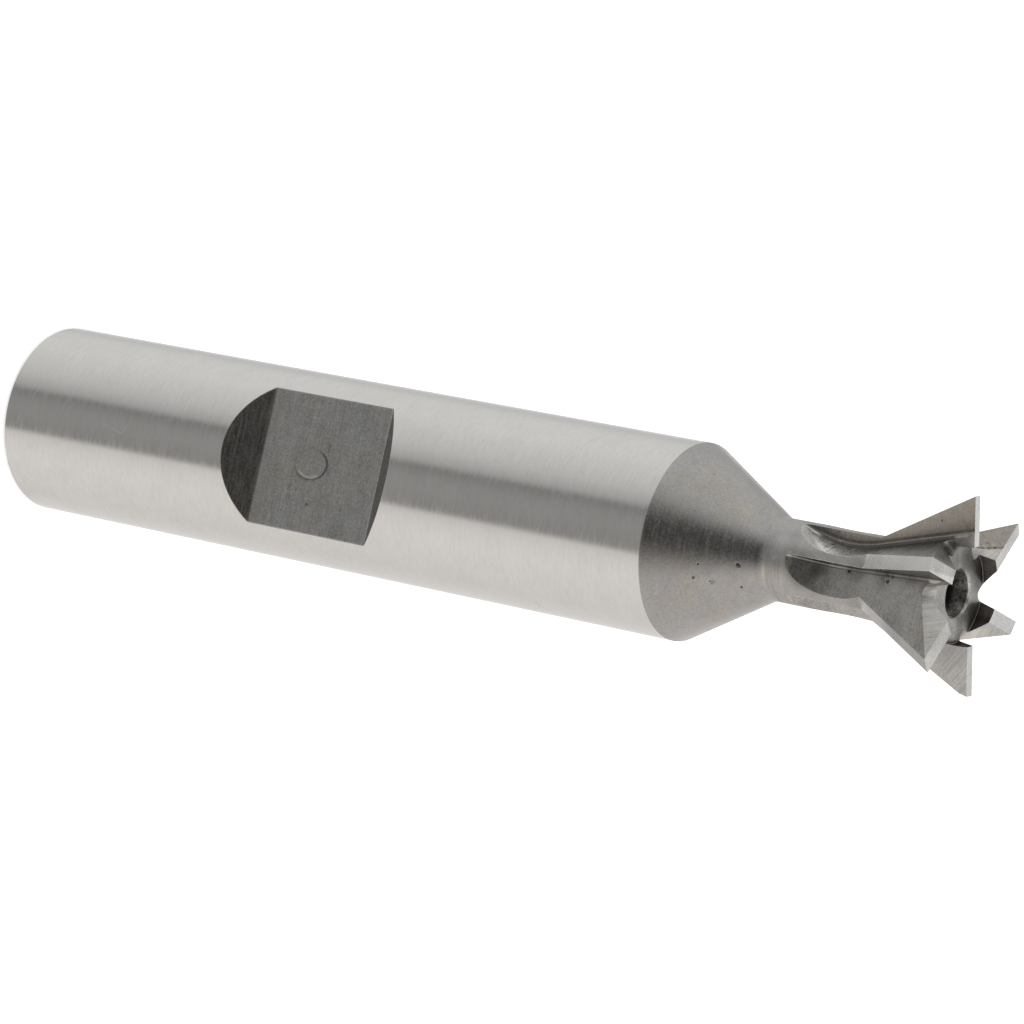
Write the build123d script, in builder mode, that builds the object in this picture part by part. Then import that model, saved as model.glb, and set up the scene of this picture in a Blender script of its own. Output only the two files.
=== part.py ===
from build123d import *
from build123d.topology import SkipClean
import os
from math import cos, sin, tan, radians

# Dovetail cutter: six teeth on a 60 degree cone, one piece of tool steel.
# The blank is turned, the flutes are milled, the lands are ground and the end is gashed.
# +Z runs along the axis, from the centre of the shank's end to the teeth.
# The locking flat faces +Y. Sizes are in millimetres, angles in degrees.

# Turned blank
overall_length = 53.975
shank_diameter = 9.525
shank_edge_break = 0.12
head_length = 14.975         # of the shoulder, the neck and the toothed cone together
shoulder_angle = 30.0        # of the shoulder, from the axis
neck_diameter = 3.95
neck_fillet = 0.5
cutting_diameter = 9.525
face_angle = 30.0            # of the toothed cone, from the axis: half of the dovetail's 60

# Locking flat: a notch with sloping ends in the side of the shank
flat_centre = 19.2           # from the shank's end
flat_length = 7.2            # of its floor
flat_depth = 1.45
flat_end_angle = 45.0        # of the two end walls, from the floor
flat_margin = 1.0            # whole round shank that is modelled with the flat, ahead of it

# Centre hole in the shank's end
centre_diameter = 1.0
centre_mouth_diameter = 2.1
centre_depth = 2.6
centre_angle = 60.0

# Recess and drilled hole in the toothed end
recess_diameter = 4.66
recess_depth = 0.81
recess_corner_radius = 0.06
bore_diameter = 2.2
bore_depth = 2.4             # below the floor of the recess
bore_chamfer = 0.09
drill_point_angle = 118.0

# Teeth. The first cutting edge stands at this angle from +X, the others follow at equal steps.
tooth_count = 6
first_tooth_angle = 23.3
face_land = 0.64             # width of the ground strip along the cone, behind the cutting edge
face_relief = 8.0            # that strip sinks by this angle behind the edge
end_relief = 4.0             # and so do the strips across the end
end_lands = (0.49, 0.66, 0.72, 0.43, 0.66, 0.62)   # widths of those, left a little uneven

# Flutes, milled by the square corner of a wheel that is fed along a slope
flute_slope = 16.0           # of the floor, from the axis
flute_wheel_radius = 5.07
flute_length = 6.36          # from the toothed end back to the wheel's centre
flute_root_radius = 0.18

# Gashes across the end, ground with the rounded edge of a wheel.
# Each has its floor behind one end land and its wall under the edge of the tooth that follows.
gash_angle = 43.0            # of the floor, down from the end land
gash_wall_angle = 15.0       # of the wall, from the axis
gash_root_radius = 0.4

# Worked out from the sizes above
shank_radius = shank_diameter / 2
neck_radius = neck_diameter / 2
cutting_radius = cutting_diameter / 2
tooth_pitch = 360 / tooth_count
shank_length = overall_length - head_length
flat_half_length = flat_length / 2
flat_half_mouth = flat_half_length + flat_depth / tan(radians(flat_end_angle))
seam = flat_centre + flat_half_mouth + flat_margin
shoulder_end = shank_length + (shank_radius - neck_radius) / tan(radians(shoulder_angle))
face_start = overall_length - (cutting_radius - neck_radius) / tan(radians(face_angle))
edge_length = (cutting_radius - neck_radius) / sin(radians(face_angle))
recess_floor = overall_length - recess_depth
clear = cutting_diameter     # how far the milling and grinding tools reach past the metal


def tilted(plane, angle):
    return Plane(plane.location * Rot(X=angle))


# One tooth is described where its rake lies in the XZ plane and its body behind it, towards -Y.
tip = Vector(cutting_radius, 0, overall_length)
face_slope = radians(face_angle)
face_edge_plane = Plane(
    origin=tip,
    x_dir=(-sin(face_slope), 0, -cos(face_slope)),   # down the cutting edge to the neck
    z_dir=(cos(face_slope), 0, -sin(face_slope)),    # out of the cone
)
end_edge_plane = Plane(
    origin=tip,
    x_dir=(-1, 0, 0),                                # along the end edge to the centre
    z_dir=(0, 0, 1),
)
face_land_plane = tilted(face_edge_plane, face_relief)
end_land_plane = tilted(end_edge_plane, -end_relief)
pitch = radians(tooth_pitch)
next_rake_plane = Plane(
    origin=(0, 0, overall_length),
    x_dir=(cos(pitch), -sin(pitch), 0),              # along the end edge of the tooth that follows
    z_dir=(sin(pitch), cos(pitch), 0),               # out of its rake
)
gash_wall_plane = tilted(next_rake_plane, gash_wall_angle)


def flute_cutter():
    # Wheel at the end of its feed, and the strip that it swept on its way there.
    # The floor meets the cone where the tooth in front leaves its land.
    slope = radians(flute_slope)
    land_step = radians(tooth_pitch) - face_land / cutting_radius
    floor_at_end = cutting_radius * cos(land_step)
    floor_at_centre = floor_at_end - flute_length * tan(slope)
    wheel = Vector(floor_at_centre + flute_wheel_radius / cos(slope), overall_length - flute_length)
    across = Vector(-cos(slope), sin(slope)) * flute_wheel_radius
    feed = Vector(sin(slope), cos(slope)) * (flute_length + clear)
    with BuildPart() as flute:
        with BuildSketch(Plane.XZ):
            with Locations(wheel):
                Circle(flute_wheel_radius)
            with BuildLine():
                Polyline(wheel, wheel + across, wheel + across + feed, wheel + feed, close=True)
            make_face()
        extrude(amount=-clear / 2)
        rake = flute.faces().sort_by(Axis.Y)[0]
        fillet(rake.edges(), flute_root_radius)
    return flute.part


def face_relief_cutter():
    # Everything outside the ground strip along the cone.
    with BuildPart() as relief:
        with BuildSketch(face_land_plane):
            Rectangle(edge_length, 2 * face_land, align=(Align.MIN, Align.MAX))
        extrude(amount=face_land)
    return relief.part


def end_cutter(land):
    # Everything above the gash floor, from the back of this end land to the wall.
    back_of_land = end_land_plane.from_local_coords((0, land, 0))
    gash_plane = tilted(end_land_plane.shift_origin(back_of_land), -gash_angle)
    with BuildPart() as gash:
        with BuildSketch(gash_plane):
            with Locations((-clear / 2, 0)):
                Rectangle(2 * clear, clear, align=(Align.MIN, Align.MIN))
        extrude(amount=clear)
        split(bisect_by=gash_wall_plane, keep=Keep.TOP)
        wall = gash.faces().filter_by(gash_wall_plane)[0]
        root = wall.edges().sort_by(lambda edge: gash_plane.to_local_coords(edge.center()).Z)[0]
        fillet(root, gash_root_radius)
    return gash.part


def end_relief_cutter():
    # Everything above the end land.
    with BuildPart() as relief:
        with BuildSketch(end_land_plane):
            Rectangle(cutting_radius, 2 * max(end_lands), align=Align.MIN)
        extrude(amount=max(end_lands))
    return relief.part


with BuildPart() as flatted_shank:
    Cylinder(shank_radius, seam, align=(Align.CENTER, Align.CENTER, Align.MIN))
    chamfer(flatted_shank.edges().filter_by(GeomType.CIRCLE).sort_by(Axis.Z)[0], shank_edge_break)

    # Centre hole
    with Locations(Plane.XY.rotated((180, 0, 0)).location):
        CounterSinkHole(centre_diameter / 2, centre_mouth_diameter / 2, centre_depth, centre_angle)

    # Locking flat
    with BuildSketch(Plane.YZ):
        floor_height = shank_radius - flat_depth
        Polygon(
            (floor_height, flat_centre - flat_half_length),
            (floor_height, flat_centre + flat_half_length),
            (shank_radius, flat_centre + flat_half_mouth),
            (shank_radius, flat_centre - flat_half_mouth),
            align=None,
        )
    extrude(amount=shank_radius, both=True, mode=Mode.SUBTRACT)

with BuildPart() as head:
    with BuildSketch(Plane.XZ):
        with BuildLine():
            Polyline(
                (0, seam),
                (shank_radius, seam),
                (shank_radius, shank_length),
                (neck_radius, shoulder_end),
                (neck_radius, face_start),
                (cutting_radius, overall_length),
                (0, overall_length),
                close=True,
            )
        make_face()
    revolve(axis=Axis.Z)
    shoulder_root = head.edges().filter_by(GeomType.CIRCLE).sort_by(Axis.Z)[2]
    fillet(shoulder_root, neck_fillet)

    # Recess in the end, and the drilled hole in its floor
    with Locations((0, 0, overall_length)):
        CounterBoreHole(bore_diameter / 2, recess_diameter / 2, recess_depth, recess_depth + bore_depth)
    floor_rims = head.edges().filter_by(GeomType.CIRCLE).filter_by_position(
        Axis.Z, recess_floor, recess_floor).sort_by(SortBy.RADIUS)
    chamfer(floor_rims[0], bore_chamfer)
    fillet(floor_rims[-1], recess_corner_radius)
    point_depth = bore_diameter / 2 / tan(radians(drill_point_angle / 2))
    with Locations((0, 0, recess_floor - bore_depth)):
        Cone(0, bore_diameter / 2, point_depth, align=(Align.CENTER, Align.CENTER, Align.MAX),
             mode=Mode.SUBTRACT)

    # Teeth
    with PolarLocations(0, tooth_count, start_angle=first_tooth_angle):
        add(flute_cutter(), mode=Mode.SUBTRACT)
        add(face_relief_cutter(), mode=Mode.SUBTRACT)
        add(end_relief_cutter(), mode=Mode.SUBTRACT)
    for number in range(tooth_count):
        land = end_lands[number % len(end_lands)]
        with PolarLocations(0, 1, start_angle=first_tooth_angle + number * tooth_pitch):
            add(end_cutter(land), mode=Mode.SUBTRACT)

# One solid. The shank's wall stays two faces, the one that the flat cuts and the whole one ahead of it.
with SkipClean(), BuildPart() as dovetail_cutter:
    add(flatted_shank.part)
    add(head.part, clean=False)

dovetail_cutter.part.label = "dovetail_cutter"
os.makedirs("parts", exist_ok=True)
export_step(dovetail_cutter.part, "parts/dovetail_cutter.step")
print("volume", round(dovetail_cutter.part.volume, 1), "solids", len(dovetail_cutter.solids()),
      "faces", len(dovetail_cutter.faces()), dovetail_cutter.part.bounding_box())
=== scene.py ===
from math import radians

import bpy
from mathutils import Matrix, Vector

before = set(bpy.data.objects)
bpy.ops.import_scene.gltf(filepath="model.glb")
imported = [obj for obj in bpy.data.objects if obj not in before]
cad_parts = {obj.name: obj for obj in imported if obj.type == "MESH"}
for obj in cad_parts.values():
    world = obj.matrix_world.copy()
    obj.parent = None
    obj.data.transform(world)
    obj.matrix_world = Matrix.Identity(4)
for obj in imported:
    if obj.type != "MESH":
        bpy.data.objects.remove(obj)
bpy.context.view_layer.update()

# Dovetail cutter, standing on the end of its shank: ground shank with a locking flat,
# turned shoulder and neck, milled flutes and six ground teeth.
# +Z runs along the tool to its teeth and +Y points out of the flat.

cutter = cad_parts["dovetail_cutter"]
scene = bpy.context.scene
scene.view_settings.view_transform = "Standard"
mmPerMetre = 1000


class Graph:
    # Short ways to add nodes. An input is a number, a colour or another node's socket.

    def __init__(self, tree):
        self.tree = tree
        tree.nodes.clear()

    def node(self, kind, inputs=None, **settings):
        made = self.tree.nodes.new("ShaderNode" + kind)
        for name, value in settings.items():
            setattr(made, name, value)
        for key, value in (inputs or {}).items():
            if isinstance(value, bpy.types.NodeSocket):
                self.tree.links.new(value, made.inputs[key])
            else:
                made.inputs[key].default_value = value
        return made

    def math(self, operation, *values):
        return self.node("Math", dict(enumerate(values)), operation=operation).outputs[0]

    def times(self, first, *others):
        for other in others:
            first = self.math("MULTIPLY", first, other)
        return first

    def total(self, first, *others):
        for other in others:
            first = self.math("ADD", first, other)
        return first

    def less(self, first, second):
        return self.math("SUBTRACT", first, second)

    def rise(self, value, start, end):
        # 0 before start, 1 after end, with an S curve between; start may be the larger one
        return self.node("MapRange", {0: value, 1: start, 2: end, 3: 0.0, 4: 1.0},
                         interpolation_type="SMOOTHSTEP").outputs[0]

    def slope(self, value, start, end, first, last):
        return self.node("MapRange", {0: value, 1: start, 2: end, 3: first, 4: last}).outputs[0]

    def mix(self, factor, first, second):
        return self.node("Mix", {0: factor, 6: first, 7: second}, data_type="RGBA").outputs[2]

    def blend(self, factor, first, second):
        return self.node("Mix", {0: factor, 2: first, 3: second}, data_type="FLOAT").outputs[0]

    def tinted(self, colour, tint):
        return self.node("Mix", {0: 1.0, 6: colour, 7: tint}, data_type="RGBA",
                         blend_type="MULTIPLY").outputs[2]

    def scaled(self, vector, x, y, z):
        return self.node("VectorMath", {0: vector, 1: (x, y, z)}, operation="MULTIPLY").outputs[0]

    def offset(self, vector, centre):
        return self.node("VectorMath", {0: vector, 1: centre}, operation="SUBTRACT").outputs[0]

    def noise(self, vector, detail, roughness):
        return self.node("TexNoise", {"Vector": vector, "Scale": 1.0, "Detail": detail,
                                      "Roughness": roughness}).outputs["Fac"]

    def signedNoise(self, vector, detail, roughness):
        return self.less(self.noise(vector, detail, roughness), 0.5)

    def dot(self, first, second):
        return self.node("VectorMath", {0: first, 1: second}, operation="DOT_PRODUCT").outputs["Value"]

    def distance(self, first, second):
        return self.node("VectorMath", {0: first, 1: second}, operation="DISTANCE").outputs["Value"]


# The steel. All places are in mm in the tool's own frame, as they would be measured on it.
# A zone is where all of its steps are full. A step is one of these:
# what is measured, with where it starts and where it is full; another zone; "not" another zone;
# or a list of two steps, either of which will do.

zones = {
    "ground": [("z", 39.02, 38.98)],
    "flat": [("z", 14.15, 14.17), ("z", 24.25, 24.23), ("radius", 4.75, 4.74)],
    "flatWall": ["flat", ("z", 15.72, 15.48)],
    "flatEnd": ["flat", ("z", 22.76, 22.84)],
    "neck": [("z", 43.6, 44.6), ("outward", 0.97, 0.98)],
    "milled": [("z", 44.6, 44.7), ("outward", 0.985, 0.975)],
    "rake": [("z", 47.0, 48.5), ("endTilt", 0.06, 0.03), ("outTilt", 0.12, 0.06)],
    "gash": [("z", 50.6, 50.7), ("endward", 0.2, 0.22), ("endward", 0.985, 0.98), "not recessFillet"],
    "faceLand": [("z", 49.0, 49.05), ("endward", -0.40, -0.42), ("outward", 0.6, 0.7)],
    "endLand": [("z", 53.88, 53.89), ("endward", 0.98, 0.99)],
    "hub": [("z", 53.0, 53.05), ("z", 53.3, 53.25), ("endward", 0.8, 0.95)],
    "recessWall": [("z", 53.17, 53.2), ("radius", 2.38, 2.36), ("outward", -0.5, -0.7)],
    "recessFillet": [("z", 53.156, 53.164), ("z", 53.232, 53.224), ("radius", 2.256, 2.268),
                     ("radius", 2.342, 2.330), ("outward", 0.0, -0.05)],
    "bore": [("z", 49.0, 49.1), ("radius", 1.19, 1.16), ("endward", 0.9, 0.8)],

    "smooth": ["ground", "not flat"],
    "coarse": ["not smooth"],
    "fluted": ["milled", "not gash", "not faceLand"],

    # neck, with painted light on one side and painted shade at its end
    "neckPaintedLight": ["neck", ("z", 43.9, 44.7), ("x", -0.3, 0.1), ("x", 1.2, 0.8)],
    "neckStart": [("z", 43.90, 44.00), ("z", 45.10, 45.00), ("outward", 0.97, 0.99), ("x", 1.4, 0.2)],
    "neckEnd": ["neck", ("z", 48.3, 48.7)],

    # flutes, with painted shade along the roots and painted light on the floors
    "root": [("rakeward", 0.08, 0.3), ("rakeward", 0.985, 0.9), ("z", 45.0, 45.6), ("ahead", 0.3, 0.22),
             ("z", 53.1, 52.9), "not bore", ("outward", -0.3, -0.1), [("x", 1.0, 0.8), ("z", 45.8, 46.2)]],
    "upperFlute": [("x", 0.5, 0.9)],
    "burr": ["root", ("fromBurr", 0.055, 0.02), ("ahead", 0.10, 0.06), ("mottle", -0.26, -0.08)],
    "burrEnd": [("z", 46.0, 49.5)],
    "aboveBurr": ["milled", ("lift", 0.17, 0.25), ("lift", 0.38, 0.30), ("ahead", 0.05, 0.02),
                  ("z", 45.9, 46.3)],
    "runOutShade": ["milled", ("z", 48.6, 45.6), "not root"],
    "onRake": [("rakeward", 0.6, 0.9)],
    "paintedLitFloor": ["milled", ("rakeward", 0.6, 0.3), ("x", 0.5, 0.7), ("bearing", 22.5, 23.5),
                   ("slant", 1.3, 0.8), "not root"],

    # lands, for painted light and painted shade
    "upperEnd": ["endLand", ("x", -0.2, 0.2), ("y", 0.0, 0.2)],
    "innerEnd": ["endLand", ("radius", 3.9, 3.3), ("y", 2.0, 2.4), ("x", -0.2, 0.2)],
    "landFoot": ["faceLand", ("z", 52.0, 50.4)],
    "landStart": ["faceLand", ("z", 49.9, 49.2)],
    "shadedLand": ["faceLand", ("x", -0.6, -0.9)],

    # recess and bore, for painted shade and painted light
    "corner": [("z", 53.0, 53.05), ("z", 53.28, 53.22), ("radius", 2.18, 2.28), ("radius", 2.42, 2.38),
               "not gash"],
    "lowCorner": ["corner", ("x", 0.3, -0.1)],
    "notch": ["gash", ("radius", 2.6, 2.35), ("x", 0.4, 0.8), ("y", -0.2, 0.2)],
    "upperGash": ["gash", ("x", 0.8, 1.0), ("y", 1.6, 2.2)],
    "shadedWall": ["recessWall", ("x", -0.4, -0.9)],
    "inBore": ["bore", ("z", 53.06, 52.98)],
    "boreSides": [("besideAxis", 0.2, 0.45)],
    "deepBore": ["bore", ("raggedZ", 52.50, 52.20)],
    "upperMouth": ["bore", ("z", 52.98, 53.06), ("x", 0.1, 0.5)],
    "lowerMouth": ["bore", ("z", 52.98, 53.06), ("x", 0.1, -0.2)],

    # dirt and painted shade, and edges that are worn bright, with a painted highlight on them
    "sheltered": [("open", 0.85, 0.30)],
    "dirtyAndShaded": [("dirtiness", 0.2, 0.9), ("z", 47.2, 50.5), ("z", 53.9, 53.8)],
    "wornEdgeHighlight": [("sameFacing", 0.985, 0.88), ("z", 44.4, 44.8), ("open", 0.60, 0.85)],
    "shoulderEdge": [("z", 38.85, 38.95), ("z", 39.15, 39.05)],
}


class Steel(Graph):
    # The cutter's material while it is put together, with what is measured at the shaded point.

    def __init__(self, tree):
        super().__init__(tree)
        place = self.node("TexCoord")
        self.mm = self.scaled(place.outputs["Object"], mmPerMetre, mmPerMetre, mmPerMetre)
        x, y, z = self.node("SeparateXYZ", {0: self.mm}).outputs
        self.facingX, self.facingY, endward = self.node("SeparateXYZ", {0: place.outputs["Normal"]}).outputs
        radius = self.math("SQRT", self.total(self.times(x, x), self.times(y, y)))
        facingOut = self.total(self.times(x, self.facingX), self.times(y, self.facingY))
        outward = self.math("DIVIDE", facingOut, radius)
        bearing = self.math("DEGREES", self.math("ARCTAN2", y, x))
        self.measured = {
            "x": x, "y": y, "z": z, "radius": radius, "bearing": bearing,
            "outward": outward, "endward": endward,
            "outTilt": self.math("ABSOLUTE", outward), "endTilt": self.math("ABSOLUTE", endward),
            "besideAxis": self.math("ABSOLUTE", x),
        }
        self.masks = {}
        self.colour = None
        self.roughness = None
        self.shade = 1.0
        self.height = 0.0              # in mm

    def step(self, step):
        if isinstance(step, tuple):
            name, start, full = step
            return self.rise(self.measured[name], start, full)
        if isinstance(step, list):
            return self.math("MAXIMUM", *[self.step(choice) for choice in step])
        if step.startswith("not "):
            return self.less(1.0, self.zone(step.removeprefix("not ")))
        return self.zone(step)

    def zone(self, name):
        if name not in self.masks:
            self.masks[name] = self.times(*[self.step(step) for step in zones[name]])
        return self.masks[name]

    def strength(self, byZone):
        parts = []
        for name, level in byZone.items():
            parts.append(level if name == "all" else self.times(self.zone(name), level))
        return self.total(*parts)

    def pattern(self, name, byZone):
        return self.times(self.measured[name], self.strength(byZone))

    def near(self, centre, size, core):
        # full within that share of the size, and gone at the size
        return self.rise(self.distance(self.mm, centre), size, size * core)

    def dim(self, mask, level):
        # multiplies the brightness by the level where the mask is full
        self.shade = self.times(self.shade, self.slope(mask, 0.0, 1.0, 1.0, level))

    def raiseBy(self, amount):
        self.height = self.total(self.height, amount)


teeth = {
    "first": 23.29,                # bearing of the first rake, in degrees from +X towards +Y
    "step": 60.0,
    "wheel": (6.362, 47.615),      # centre of the wheel that milled the flute, from the axis and along it
    "wheelRadius": 5.07,
    "straightFrom": 49.01,         # from here on the flute's floor is straight
    "straightSoft": 0.01,
    "rootAtEnd": 2.911,            # distance of the floor's root from the axis at the toothed end
    "end": 53.975,
    "slope": 0.2867,               # of the floor, 16 degrees from the axis
    "slantFrom": 46.4,             # where a line at 45 degrees across the flute's floor starts
}


def measureTeeth(steel):
    # how far a point lies ahead of the nearest rake, and how far its surface faces as that rake does
    bearing = steel.measured["bearing"]
    radius = steel.measured["radius"]
    z = steel.measured["z"]
    turn = steel.math("FLOORED_MODULO", steel.less(bearing, teeth["first"]), teeth["step"])
    ahead = steel.times(radius, steel.math("SINE", steel.math("RADIANS", turn)))
    rakeTurn = steel.math("RADIANS", steel.less(bearing, turn))
    steel.measured["ahead"] = ahead
    steel.measured["rakeward"] = steel.less(steel.times(steel.facingY, steel.math("COSINE", rakeTurn)),
                                            steel.times(steel.facingX, steel.math("SINE", rakeTurn)))
    steel.measured["slant"] = steel.total(steel.less(ahead, z), teeth["slantFrom"])

    # how far it lies up the rake from the line where the flute's floor meets it
    out, level = teeth["wheel"]
    fromWheel = steel.less(z, level)
    reach = steel.less(teeth["wheelRadius"] ** 2, steel.times(fromWheel, fromWheel))
    curved = steel.less(out, steel.math("SQRT", steel.math("MAXIMUM", reach, 0.0)))
    straight = steel.less(teeth["rootAtEnd"], steel.times(steel.less(teeth["end"], z), teeth["slope"]))
    isStraight = steel.rise(z, teeth["straightFrom"] - teeth["straightSoft"],
                            teeth["straightFrom"] + teeth["straightSoft"])
    upRake = steel.times(radius, steel.math("COSINE", steel.math("RADIANS", turn)))
    steel.measured["lift"] = steel.less(upRake, steel.blend(isStraight, curved, straight))


finishes = {                       # colour and roughness; each covers the ones before it
    "turned": ((0.345, 0.333, 0.316), 0.25),
    "ground": ((0.575, 0.567, 0.546), 0.135),
    "flat": ((0.405, 0.398, 0.380), 0.28),
    "flatWall": ((0.176, 0.169, 0.156), 0.30),
    "flatEnd": ((0.232, 0.225, 0.212), 0.30),
    "neck": ((0.372, 0.362, 0.345), 0.45),
    "milled": ((0.382, 0.367, 0.346), 0.34),
    "rake": ((0.305, 0.282, 0.248), 0.34),
    "gash": ((0.440, 0.430, 0.408), 0.40),
    "faceLand": ((0.480, 0.474, 0.456), 0.30),
    "endLand": ((0.530, 0.525, 0.509), 0.28),
    "hub": ((0.325, 0.316, 0.299), 0.34),
    "recessWall": ((0.272, 0.250, 0.232), 0.45),
    "bore": ((0.520, 0.508, 0.490), 0.50),
}


def layFinishes(steel):
    for name, (paint, roughness) in finishes.items():
        if name == "turned":       # the whole tool was turned first
            steel.colour = (*paint, 1.0)
            steel.roughness = roughness
        else:
            steel.colour = steel.mix(steel.zone(name), steel.colour, (*paint, 1.0))
            steel.roughness = steel.blend(steel.zone(name), steel.roughness, roughness)


patterns = {                       # changes per mm along X, Y and Z, then detail and roughness
    "rings": ((0.8, 0.8, 11.0), 3.0, 0.6),         # turning lines run round the tool
    "fineRings": ((1.8, 1.8, 8.5), 1.0, 0.5),      # and so do the grinding lines of the shank
    "grooves": ((0.4, 0.4, 17.0), 1.0, 0.5),
    "brushed": ((0.8, 1.0, 8.0), 3.0, 0.65),
    "crossed": ((14.0, 1.0, 1.5), 3.0, 0.65),
    "patches": ((0.55, 0.55, 0.9), 3.0, 0.6),
    "mottle": ((2.2, 2.2, 2.2), 3.0, 0.6),
    "grain": ((9.0, 9.0, 9.0), 2.0, 0.7),
    "tarnish": ((0.7, 0.7, 0.7), 2.0, 0.5),
}
patternShade = {                   # how strongly a pattern shows in each zone
    "rings": {"coarse": 0.20, "fluted": 0.30},
    "fineRings": {"smooth": 0.16},
    "patches": {"all": 0.10, "coarse": 0.16, "faceLand": -0.18, "endLand": -0.18},
    "mottle": {"all": 0.02, "coarse": 0.20, "fluted": 0.14, "faceLand": -0.12, "endLand": -0.12},
    "grain": {"all": 0.06, "coarse": 0.60, "fluted": 0.50, "flat": 0.35, "flatWall": -0.55,
              "faceLand": -0.44, "endLand": -0.44},
    "brushed": {"flat": 0.50, "flatWall": -0.32},
    "crossed": {"flat": 0.35, "flatWall": -0.22},
}
patternRoughness = {
    "rings": {"coarse": 0.40},
    "grain": {"coarse": 0.30},
}
patternHeight = {                  # in mm
    "rings": {"coarse": 0.0014},
    "grain": {"all": 0.0003, "coarse": 0.0020, "fluted": 0.0022},
}
groundLines = {
    "roughness": 0.06,             # added along the rougher of the fine rings
    "fromTo": (-0.04, 0.15),       # where in their pattern that starts and is full
    "leastRoughness": 0.05,
}


def addPatterns(steel):
    for name, (perMm, detail, roughness) in patterns.items():
        steel.measured[name] = steel.signedNoise(steel.scaled(steel.mm, *perMm), detail, roughness)
    for name, byZone in patternShade.items():
        steel.shade = steel.total(steel.shade, steel.pattern(name, byZone))
    for name, byZone in patternRoughness.items():
        steel.roughness = steel.total(steel.roughness, steel.pattern(name, byZone))
    for name, byZone in patternHeight.items():
        steel.raiseBy(steel.pattern(name, byZone))
    rough = steel.rise(steel.measured["fineRings"], *groundLines["fromTo"])
    added = steel.times(rough, steel.zone("smooth"), groundLines["roughness"])
    steel.roughness = steel.math("MAXIMUM", steel.total(steel.roughness, added),
                                 groundLines["leastRoughness"])


toolLines = {
    # painted light on one side of the neck
    "neckPaintedLight": 1.22,
    "neckShade": 1.0,
    "neckHeight": 0.003,           # in mm
    "hubShade": 0.6,
    "hubPerMm": 9.0,               # outwards
    "hubPerDegree": 0.01,          # round the axis
    "hubNoise": (2.0, 0.6),        # detail and roughness
    "gashShade": 1.1,
    "gashHeight": 0.0015,
    "gashPerMm": (15.0, 0.35),     # across the lines and along them
    "gashPerDegree": 0.02,
    "gashNoise": (3.0, 0.65),
    "gashTurn": (0.682, 0.731),    # cosine and sine of 47 degrees, the slant of a gash floor to the axis
}


def addToolLines(steel):
    # painted light on one side of the neck, then turned grooves where the neck begins
    steel.dim(steel.zone("neckPaintedLight"), toolLines["neckPaintedLight"])
    grooves = steel.times(steel.measured["grooves"], steel.zone("neckStart"))
    steel.shade = steel.total(steel.shade, steel.times(grooves, toolLines["neckShade"]))
    steel.raiseBy(steel.times(grooves, toolLines["neckHeight"]))

    # turned lines round the floor of the recess
    bearing = steel.measured["bearing"]
    radius = steel.measured["radius"]
    z = steel.measured["z"]
    spun = steel.node("CombineXYZ", {0: steel.times(radius, toolLines["hubPerMm"]),
                                     1: steel.times(bearing, toolLines["hubPerDegree"])}).outputs[0]
    turns = steel.times(steel.signedNoise(spun, *toolLines["hubNoise"]), steel.zone("hub"))
    steel.shade = steel.total(steel.shade, steel.times(turns, toolLines["hubShade"]))

    # grinding lines across the gashes, at the same slant to each tooth
    cosine, sine = toolLines["gashTurn"]
    turn = steel.math("FLOORED_MODULO", steel.less(teeth["first"], bearing), teeth["step"])
    behind = steel.math("RADIANS", turn)
    along = steel.times(radius, steel.math("COSINE", behind))
    back = steel.times(radius, steel.math("SINE", behind))
    climb = steel.less(steel.times(z, sine), steel.times(back, cosine))
    across = steel.total(steel.times(along, cosine), steel.times(climb, sine))
    down = steel.less(steel.times(climb, cosine), steel.times(along, sine))
    perAcross, perDown = toolLines["gashPerMm"]
    slanted = steel.node("CombineXYZ", {0: steel.times(across, perAcross), 1: steel.times(down, perDown),
                                        2: steel.times(bearing, toolLines["gashPerDegree"])}).outputs[0]
    strokes = steel.times(steel.signedNoise(slanted, *toolLines["gashNoise"]), steel.zone("gash"))
    steel.shade = steel.total(steel.shade, steel.times(strokes, toolLines["gashShade"]))
    steel.raiseBy(steel.times(strokes, toolLines["gashHeight"]))


# painted shade and painted highlights along the flutes
flutes = {                         # brightness against the finish, in the order of the work
    "root": 0.42,
    "rootRoughness": 0.6,
    "burrUp": (0.07, 0.145),       # mm from the root to the burr, in the lower and the upper flutes
    "burrStart": 3.4,
    "burrEnd": (1.7, 1.0),         # in the lower and the upper flutes
    "aboveBurr": 0.62,
    "runOutShade": (1.08, 0.58),       # floor and rake
    "paintedLitFloor": (46.8, 49.4, 2.1, 0.85),         # from and to in mm, and the brightness there
    "paintedLitFloorEnd": (50.0, 51.5, 1.0, 0.84),
}


def addFlutes(steel):
    # painted shade: a dark line along each flute's root, a painted highlight on the thin burr up the rake,
    # and painted shade above the burr
    steel.dim(steel.zone("root"), flutes["root"])
    steel.roughness = steel.blend(steel.zone("root"), steel.roughness, flutes["rootRoughness"])
    burrUp = steel.blend(steel.zone("upperFlute"), *flutes["burrUp"])
    steel.measured["fromBurr"] = steel.math("ABSOLUTE", steel.less(steel.measured["lift"], burrUp))
    burrEnd = steel.blend(steel.zone("upperFlute"), *flutes["burrEnd"])
    steel.dim(steel.zone("burr"), steel.blend(steel.zone("burrEnd"), flutes["burrStart"], burrEnd))
    steel.dim(steel.zone("aboveBurr"), flutes["aboveBurr"])

    # painted shade and light where the wheel ran out in the neck, lighter on the floor and darker on the
    # rake, and painted light on the floor of the flute that faces the light
    z = steel.measured["z"]
    steel.dim(steel.zone("runOutShade"), steel.blend(steel.zone("onRake"), *flutes["runOutShade"]))
    steel.dim(steel.zone("paintedLitFloor"), steel.times(steel.slope(z, *flutes["paintedLitFloor"]),
                                                    steel.slope(z, *flutes["paintedLitFloorEnd"])))


# painted light and painted shade: parts of the lands made brighter or darker, and the neck's end darker
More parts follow.
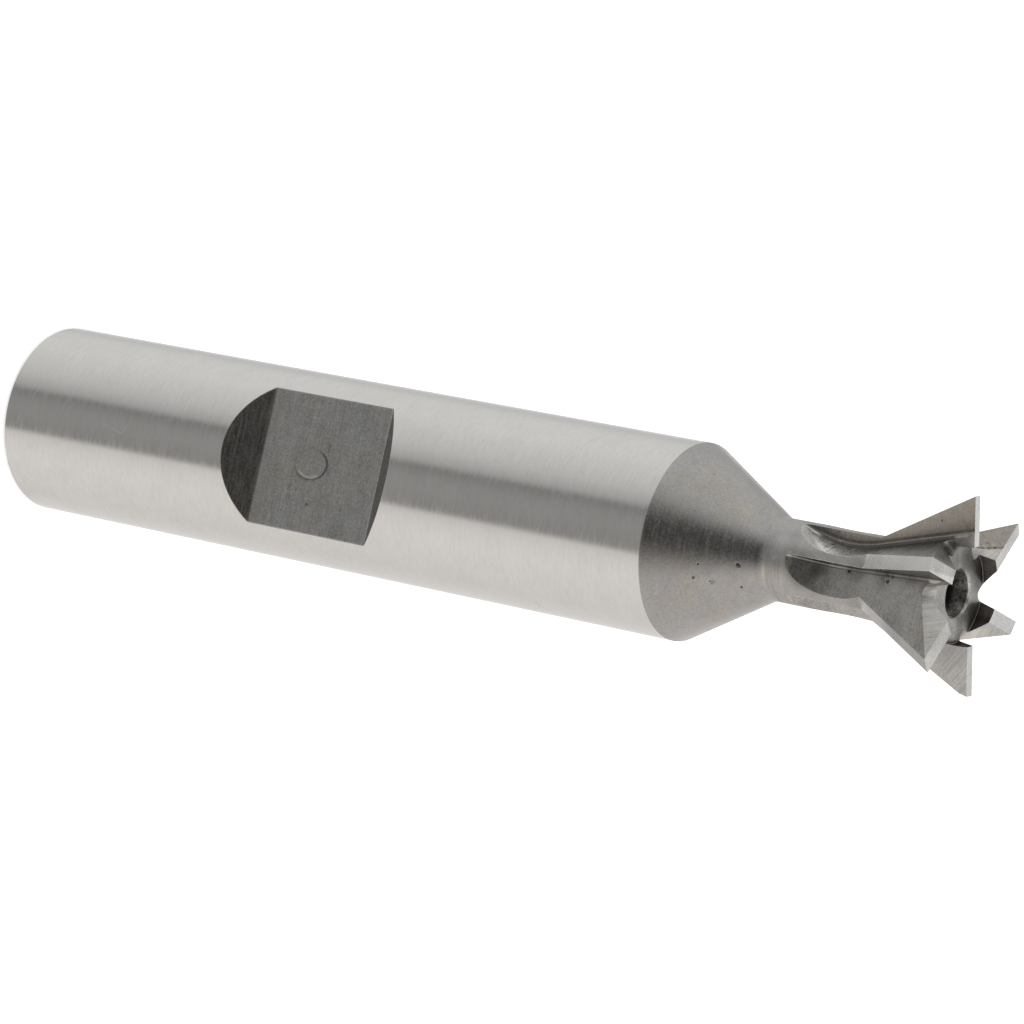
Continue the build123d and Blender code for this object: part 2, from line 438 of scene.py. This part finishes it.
paintedLightByPart = {"upperEnd": 1.16, "innerEnd": 1.10, "landFoot": 1.25, "landStart": 1.22, "shadedLand": 0.68,
         "neckEnd": 0.85}
dirtAndShade = {
    "level": 0.55,
    "shelterReach": 0.0016,        # in metres
    "shelterSamples": 8,
    "mottle": 1.6,                 # how far the two patterns break the dirt and painted shade up
    "grain": 1.0,
}
# painted shade and painted light in the recess and the bore, with the bore's mottle
recessPaintedLight = {
    "levels": {"corner": 0.50, "lowCorner": 1.1, "notch": 0.78, "upperGash": 1.25, "shadedWall": 0.40,
               "deepBore": 0.18, "upperMouth": 0.95, "lowerMouth": 0.6},
    "bore": (0.8, 1.36),           # middle and sides
    "deepRagged": 0.2,
    "boreMottle": 1.8,
    "boreGrain": 2.0,
    "boreDarkest": 0.3,
    "hubShadow": ((1.30, -1.95, 53.17), 1.50, 0.36),         # centre and radius in mm, brightness
}
spotCore = 0.3                    # share of its radius in which a spot is full
# darker spots, partly stains and partly painted shade, then brighter spots that are painted highlights
stainsAndPaintedLight = [                         # centre and radius in mm, brightness
    ((1.80, -0.35, 53.15), 1.40, 0.52), ((-0.40, 1.60, 46.00), 1.10, 0.50),
    ((-2.60, 0.90, 53.90), 2.00, 0.80), ((-1.95, -1.15, 53.17), 0.80, 0.45),
    ((-0.60, 1.55, 46.80), 1.10, 0.80), ((0.00, 1.75, 50.30), 0.90, 0.78),
    ((0.05, 1.35, 48.60), 0.70, 0.82), ((0.15, 2.35, 51.90), 0.60, 0.85),
    ((-0.12, 1.40, 46.75), 0.60, 0.60), ((-1.86, 0.10, 46.20), 1.30, 0.78),
    ((-1.12, -0.74, 53.17), 0.60, 0.60), ((1.98, 1.20, 52.95), 0.42, 0.38),
    ((-0.55, -1.80, 53.17), 0.80, 0.60), ((-0.16, -1.09, 53.07), 0.22, 0.50),
    ((-2.19, 2.39, 51.41), 1.20, 0.84), ((-2.37, 2.86, 53.75), 0.90, 0.85),
    ((-0.21, 2.53, 52.81), 0.45, 0.75),
    # and painted highlights
    ((2.15, -1.50, 53.50), 0.90, 1.25), ((-1.60, -2.40, 53.30), 0.90, 1.25),
    ((0.51, -0.98, 52.71), 0.17, 3.0), ((0.52, -0.97, 53.00), 0.20, 1.3),
]


def addDirtAndPaintedLight(steel):
    mottle = steel.measured["mottle"]
    grain = steel.measured["grain"]
    # painted light and painted shade on the lands and the neck's end
    for name, level in paintedLightByPart.items():
        steel.dim(steel.zone(name), level)

    # dirt and painted shade in the sheltered inner corners of the toothed end, broken up by two patterns
    steel.measured["open"] = steel.node("AmbientOcclusion", {"Distance": dirtAndShade["shelterReach"]},
                                        samples=dirtAndShade["shelterSamples"], only_local=True).outputs["AO"]
    steel.measured["dirtiness"] = steel.total(steel.zone("sheltered"), steel.times(mottle, dirtAndShade["mottle"]),
                                              steel.times(grain, dirtAndShade["grain"]))
    steel.dim(steel.zone("dirtyAndShaded"), dirtAndShade["level"])

    # painted shade and painted light in the recess and the bore, with a painted shadow on the hub and a
    # mottle in the bore
    ragged = steel.times(mottle, recessPaintedLight["deepRagged"])
    steel.measured["raggedZ"] = steel.total(steel.measured["z"], ragged)
    for name, level in recessPaintedLight["levels"].items():
        steel.dim(steel.zone(name), level)
    steel.dim(steel.zone("inBore"), steel.blend(steel.zone("boreSides"), *recessPaintedLight["bore"]))
    uneven = steel.total(1.0, steel.times(mottle, steel.zone("bore"), recessPaintedLight["boreMottle"]),
                         steel.times(grain, steel.zone("bore"), recessPaintedLight["boreGrain"]))
    steel.shade = steel.times(steel.shade, steel.math("MAXIMUM", uneven, recessPaintedLight["boreDarkest"]))
    centre, size, level = recessPaintedLight["hubShadow"]
    steel.dim(steel.times(steel.zone("hub"), steel.near(centre, size, spotCore)), level)

    # stains and painted shade, and painted highlights
    for centre, size, level in stainsAndPaintedLight:
        steel.dim(steel.near(centre, size, spotCore), level)


# worn edges, with a painted highlight on them
edges = {
    "radius": 0.00004,             # in metres
    "radiusAdded": {"flat": 0.00012, "shoulderEdge": 0.00010},
    "samples": 6,
    "wearAndHighlight": (48.5, 49.5, 2.2, 1.55),               # from and to in mm, and the brightness there
}


def addWornEdgeHighlights(steel):
    radius = steel.total(edges["radius"], steel.strength(edges["radiusAdded"]))
    steel.rounded = steel.node("Bevel", {"Radius": radius}, samples=edges["samples"]).outputs[0]
    steel.measured["sameFacing"] = steel.dot(steel.rounded, steel.node("NewGeometry").outputs["Normal"])
    # edges worn bright, with a painted highlight on them
    steel.dim(steel.zone("wornEdgeHighlight"), steel.slope(steel.measured["z"], *edges["wearAndHighlight"]))


pits = {
    "level": 0.3,
    "core": 0.35,                  # shares of a pit's radius: where it is full,
    "ragged": 0.8,                 # how uneven its rim is,
    "depth": 0.25,                 # and how deep it is
    "places": [                    # centre and radius in mm
        ((-0.75, 2.34, 43.00), 0.14), ((-0.68, 2.39, 42.93), 0.10), ((-1.08, 3.21, 41.38), 0.08),
        ((-1.72, 3.05, 41.19), 0.09), ((-1.69, 1.73, 43.05), 0.10), ((-1.73, 2.61, 41.83), 0.05),
        ((3.18, 2.17, 40.58), 0.05), ((3.06, 1.32, 52.28), 0.06), ((2.45, -1.83, 53.58), 0.08),
        ((0.01, 1.35, 48.20), 0.09), ((-0.14, 1.96, 50.56), 0.11), ((0.11, 2.02, 50.81), 0.07),
        ((3.85, 2.81, 0.01), 0.14), ((-3.01, 3.69, 0.06), 0.14), ((-1.39, 3.31, 18.09), 0.05),
    ],
}
roughSpots = {                     # places where many small pits lie together
    "perMm": 5.0,
    "noise": (2.0, 0.6),           # detail and roughness
    "dark": (0.52, 0.64, 0.52),    # where in the noise it starts and is full, and its brightness
    "light": (0.44, 0.34, 1.30),
    "core": 0.3,
    "depth": 0.02,                 # in mm
    "places": [
        ((-1.51, 3.31, 17.69), 0.42), ((-1.86, 3.31, 18.93), 0.34), ((-1.74, 3.31, 20.84), 0.36),
        ((0.02, 1.34, 48.17), 0.26), ((-0.03, 1.93, 50.49), 0.42), ((2.45, -1.83, 53.20), 0.45),
        ((1.00, 1.07, 46.80), 0.42), ((0.94, 1.15, 47.80), 0.30), ((-1.70, 2.60, 41.85), 0.35),
    ],
}


def addPits(steel):
    for centre, size in pits["places"]:
        ragged = steel.times(steel.measured["grain"], size * pits["ragged"])
        away = steel.total(steel.distance(steel.mm, centre), ragged)
        pit = steel.rise(away, size, size * pits["core"])
        steel.dim(pit, pits["level"])
        steel.raiseBy(steel.times(pit, -size * pits["depth"]))

    perMm = roughSpots["perMm"]
    specks = steel.noise(steel.scaled(steel.mm, perMm, perMm, perMm), *roughSpots["noise"])
    for centre, size in roughSpots["places"]:
        spot = steel.near(centre, size, roughSpots["core"])
        for start, full, level in (roughSpots["dark"], roughSpots["light"]):
            steel.dim(steel.times(spot, steel.rise(specks, start, full)), level)
        steel.raiseBy(steel.times(spot, specks, -roughSpots["depth"]))


screwRing = {                      # pressed into the flat by a set screw, with painted shade in its groove and a painted highlight on its lip
    "centre": (0.0, 3.3125, 18.64),
    "radius": 0.84,
    "stretch": (1.10, 1.0, 0.85),
    "width": 0.11,
    "lip": 2.5,                    # its reach inwards, in widths
    "ragged": 0.08,
    "reach": (1.4, 1.3),           # nothing of the mark is farther out than this
    "shadedSide": (2.0, 75.0, 40.0),              # bearing, then how far to either side it ends and is full
    "litSide": (-95.0, 60.0, 30.0),
    "strength": (0.10, 0.90, 0.5),                 # all round, on the shaded side and on the lit side
    "level": 0.30,
    "lipHighlight": 1.6,
    "depth": 0.02,
}


def addScrewRing(steel):
    fromCentre = steel.scaled(steel.offset(steel.mm, screwRing["centre"]), *screwRing["stretch"])
    away = steel.node("VectorMath", {0: fromCentre}, operation="LENGTH").outputs["Value"]
    across = steel.node("SeparateXYZ", {0: fromCentre}).outputs["X"]
    along = steel.node("SeparateXYZ", {0: fromCentre}).outputs["Z"]
    bearing = steel.math("DEGREES", steel.math("ARCTAN2", across, along))
    ragged = steel.times(steel.measured["grain"], screwRing["ragged"])
    off = steel.less(steel.total(away, ragged), screwRing["radius"])
    width = screwRing["width"]
    groove = steel.times(steel.rise(off, -width, 0.0), steel.rise(off, width, 0.0))
    lip = steel.times(steel.rise(off, -screwRing["lip"] * width, -width), steel.rise(off, 0.0, -width))
    onFlat = steel.times(steel.zone("flat"), steel.rise(away, *screwRing["reach"]))

    def side(middle, end, full):
        fromMiddle = steel.math("ABSOLUTE", steel.less(bearing, middle))
        return steel.times(onFlat, steel.rise(fromMiddle, end, full))

    litSide = side(*screwRing["litSide"])
    masks = (onFlat, side(*screwRing["shadedSide"]), litSide)
    strengths = [steel.times(mask, strength) for mask, strength in zip(masks, screwRing["strength"])]
    mark = steel.times(groove, steel.total(*strengths))
    # painted shade in the groove, strongest on the shaded side, and a painted highlight on the lip of the
    # lit side
    steel.dim(mark, screwRing["level"])
    steel.dim(steel.times(lip, litSide), screwRing["lipHighlight"])
    steel.raiseBy(steel.times(mark, -screwRing["depth"]))


scratches = {
    "fade": (2.0, 0.5),            # where one ends and is full, in half widths
    "places": [                    # from and to, half width, change of brightness
        ((-0.08, 4.76, 6.56), (-0.31, 4.75, 7.40), 0.02, 0.10),
        ((-0.31, 4.75, 7.40), (-0.36, 4.75, 7.74), 0.02, 0.16),
        ((-0.36, 4.75, 7.74), (0.16, 4.76, 8.13), 0.02, 0.12),
        ((-4.35, 1.93, 32.15), (-4.51, 1.53, 32.63), 0.025, -0.22),
        ((-4.51, 1.52, 32.33), (-4.67, 0.94, 31.60), 0.02, -0.12),
        ((3.37, 3.31, 19.70), (0.84, 3.31, 19.58), 0.03, -0.10),
        ((1.16, 3.31, 19.54), (0.76, 3.31, 19.55), 0.04, -0.25),
        ((0.66, 3.31, 22.45), (-0.80, 3.31, 21.39), 0.03, 0.08),
    ],
}


def addScratches(steel):
    end, full = scratches["fade"]
    for first, last, halfWidth, change in scratches["places"]:
        line = Vector(last) - Vector(first)
        fromStart = steel.offset(steel.mm, first)
        share = steel.node("Math", {0: steel.dot(fromStart, line / line.length_squared), 1: 0.0},
                           operation="ADD", use_clamp=True).outputs[0]
        nearest = steel.node("VectorMath", {0: tuple(line), "Scale": share}, operation="SCALE").outputs[0]
        scratch = steel.rise(steel.distance(fromStart, nearest), halfWidth * end, halfWidth * full)
        steel.shade = steel.total(steel.shade, steel.times(scratch, change))


tarnish = {
    "strength": {"all": 0.04, "coarse": 0.16, "milled": -0.10},
    "red": 0.5,                    # how far red goes up as blue goes down
    "specularTint": (0.85, 0.85, 0.85, 1.0),
}


def cutterSteel():
    made = bpy.data.materials.new("cutterSteel")
    made.use_nodes = True
    steel = Steel(made.node_tree)
    measureTeeth(steel)
    layFinishes(steel)
    addPatterns(steel)
    addToolLines(steel)
    addFlutes(steel)
    addDirtAndPaintedLight(steel)
    addWornEdgeHighlights(steel)
    addPits(steel)
    addScrewRing(steel)
    addScratches(steel)

    # a brown or blue tinge here and there
    tinge = steel.pattern("tarnish", tarnish["strength"])
    tint = steel.node("CombineColor", {0: steel.total(1.0, steel.times(tinge, tarnish["red"])), 1: 1.0,
                                       2: steel.less(1.0, tinge)}).outputs[0]
    shade = steel.shade
    grey = steel.node("CombineColor", {0: shade, 1: shade, 2: shade}).outputs[0]
    colour = steel.tinted(steel.tinted(steel.colour, grey), tint)
    bump = steel.node("Bump", {"Strength": 1.0, "Distance": 1 / mmPerMetre, "Height": steel.height,
                               "Normal": steel.rounded})
    shader = steel.node("BsdfPrincipled", {"Base Color": colour, "Metallic": 1.0,
                                           "Roughness": steel.roughness, "Normal": bump.outputs[0],
                                           "Specular Tint": tarnish["specularTint"]})
    steel.node("OutputMaterial", {"Surface": shader.outputs[0]})
    return made


cutter.material_slots[0].material = cutterSteel()
print("steel done")


# The camera stands at the photograph's viewing angle. It is rolled, because the tool lies across the frame.

view = {
    "place": (-0.006610, 0.169500, 0.140064),
    "aim": (-0.000270, 0.0, 0.028617),
    "roll": 101.1629,              # degrees, anticlockwise seen from behind the camera
    "lens": 147.1655,
    "sensor": 36.0,
    "clip": (0.01, 20.0),
}


def addCamera():
    data = bpy.data.cameras.new("camera")
    data.lens = view["lens"]
    data.sensor_width = view["sensor"]
    data.clip_start, data.clip_end = view["clip"]
    camera = bpy.data.objects.new("camera", data)
    scene.collection.objects.link(camera)
    place = Vector(view["place"])
    turn = (Vector(view["aim"]) - place).to_track_quat("-Z", "Y").to_matrix()
    turn = turn @ Matrix.Rotation(radians(view["roll"]), 3, "Z")
    camera.matrix_world = Matrix.Translation(place) @ turn.to_4x4()
    scene.camera = camera


addCamera()
print("camera done")


# The studio is a pale floor, a soft white room with one dark side, and one large lamp.

studio = {
    # brightness round the tool by degrees from +Y towards +X, for light from below and from above
    "low": [(-180, 1.02), (-146, 1.05), (-115, 0.97), (-60, 1.04), (-43, 0.99), (-36, 0.94), (-30, 0.90),
            (-24.5, 0.37), (-14, 0.39), (-2, 0.41), (9, 0.40), (16, 0.36), (23.5, 0.30), (30, 0.57),
            (46, 0.77), (62, 0.87), (90, 0.99), (118, 1.0), (130, 0.97), (142, 0.84), (152, 0.80),
            (162, 0.94), (180, 1.02)],
    "high": [(-180, 1.05), (-138, 1.0), (-58, 0.95), (-38, 0.64), (-22, 0.24), (-8, 0.12), (13, 0.12),
             (26, 0.27), (40, 0.66), (58, 0.92), (90, 0.97), (118, 0.98), (134, 0.89), (145, 0.73),
             (155, 0.70), (165, 0.88), (180, 1.03)],
    "lowToHigh": (-25.0, 25.0),           # degrees of elevation between which low turns into high
    "straightDown": (-56.0, -75.0),       # degrees of elevation between which the dark side ends
    "warmFrom": (0.1, -0.5),              # where the warm light starts and is full, from +X to -X
    "warmSide": (1.035, 1.0, 0.985, 1.0), # tint of the light from -X
    "white": (1.0, 1.0, 1.0, 1.0),
    "lampPlace": (0.0, 0.05, 0.9),
    "lampSize": 0.6,
    "lampWatts": 0.7,
    "floorColour": (0.85, 0.85, 0.85, 1.0),
    "floorLift": 0.55,                    # keeps the floor pale in the picture, and lights nothing
    "floorHalf": 3.0,
}


def brightnessRound(graph, side, stops):
    ramp = graph.node("ValToRGB", {0: graph.slope(side, -180.0, 180.0, 0.0, 1.0)})
    marks = ramp.color_ramp.elements
    while len(marks) > 1:
        marks.remove(marks[-1])
    for number, (angle, level) in enumerate(stops):
        position = (angle + 180) / 360
        mark = marks[0] if number == 0 else marks.new(position)
        mark.position = position
        mark.color = (level, level, level, 1.0)
    return ramp.outputs[0]


def addRoom():
    room = bpy.data.worlds.new("whiteRoom")
    scene.world = room
    room.use_nodes = True
    graph = Graph(room.node_tree)
    white = studio["white"]
    x, y, z = graph.node("SeparateXYZ", {0: graph.node("TexCoord").outputs["Generated"]}).outputs
    side = graph.math("DEGREES", graph.math("ARCTAN2", x, y))
    up = graph.math("DEGREES", graph.math("ARCSINE", z))
    light = graph.mix(graph.rise(up, *studio["lowToHigh"]), brightnessRound(graph, side, studio["low"]),
                      brightnessRound(graph, side, studio["high"]))
    light = graph.mix(graph.rise(up, *studio["straightDown"]), light, white)
    light = graph.tinted(light, graph.mix(graph.rise(x, *studio["warmFrom"]), white, studio["warmSide"]))
    seen = graph.node("LightPath").outputs["Is Camera Ray"]
    background = graph.node("Background", {"Color": graph.mix(seen, light, white), "Strength": 1.0})
    graph.node("OutputWorld", {"Surface": background.outputs[0]})


def addFloor():
    material = bpy.data.materials.new("paleFloor")
    material.use_nodes = True
    graph = Graph(material.node_tree)
    paint = graph.node("BsdfDiffuse", {"Color": studio["floorColour"]})
    seen = graph.node("LightPath").outputs["Is Camera Ray"]
    lift = graph.node("Emission", {"Color": studio["white"],
                                   "Strength": graph.times(seen, studio["floorLift"])})
    both = graph.node("AddShader", {0: paint.outputs[0], 1: lift.outputs[0]})
    graph.node("OutputMaterial", {"Surface": both.outputs[0]})
    half = studio["floorHalf"]
    mesh = bpy.data.meshes.new("floor")
    corners = [(-half, -half, 0), (half, -half, 0), (half, half, 0), (-half, half, 0)]
    mesh.from_pydata(corners, [], [(0, 1, 2, 3)])
    mesh.materials.append(material)
    floor = bpy.data.objects.new("floor", mesh)
    scene.collection.objects.link(floor)
    floor.visible_glossy = False


def addLamp():
    data = bpy.data.lights.new("softLamp", "AREA")
    data.shape = "SQUARE"
    data.size = studio["lampSize"]
    data.energy = studio["lampWatts"]
    lamp = bpy.data.objects.new("softLamp", data)
    scene.collection.objects.link(lamp)
    place = Vector(studio["lampPlace"])
    turn = (-place).to_track_quat("-Z", "Y").to_matrix()
    lamp.matrix_world = Matrix.Translation(place) @ turn.to_4x4()


addRoom()
addFloor()
addLamp()
print("studio done")
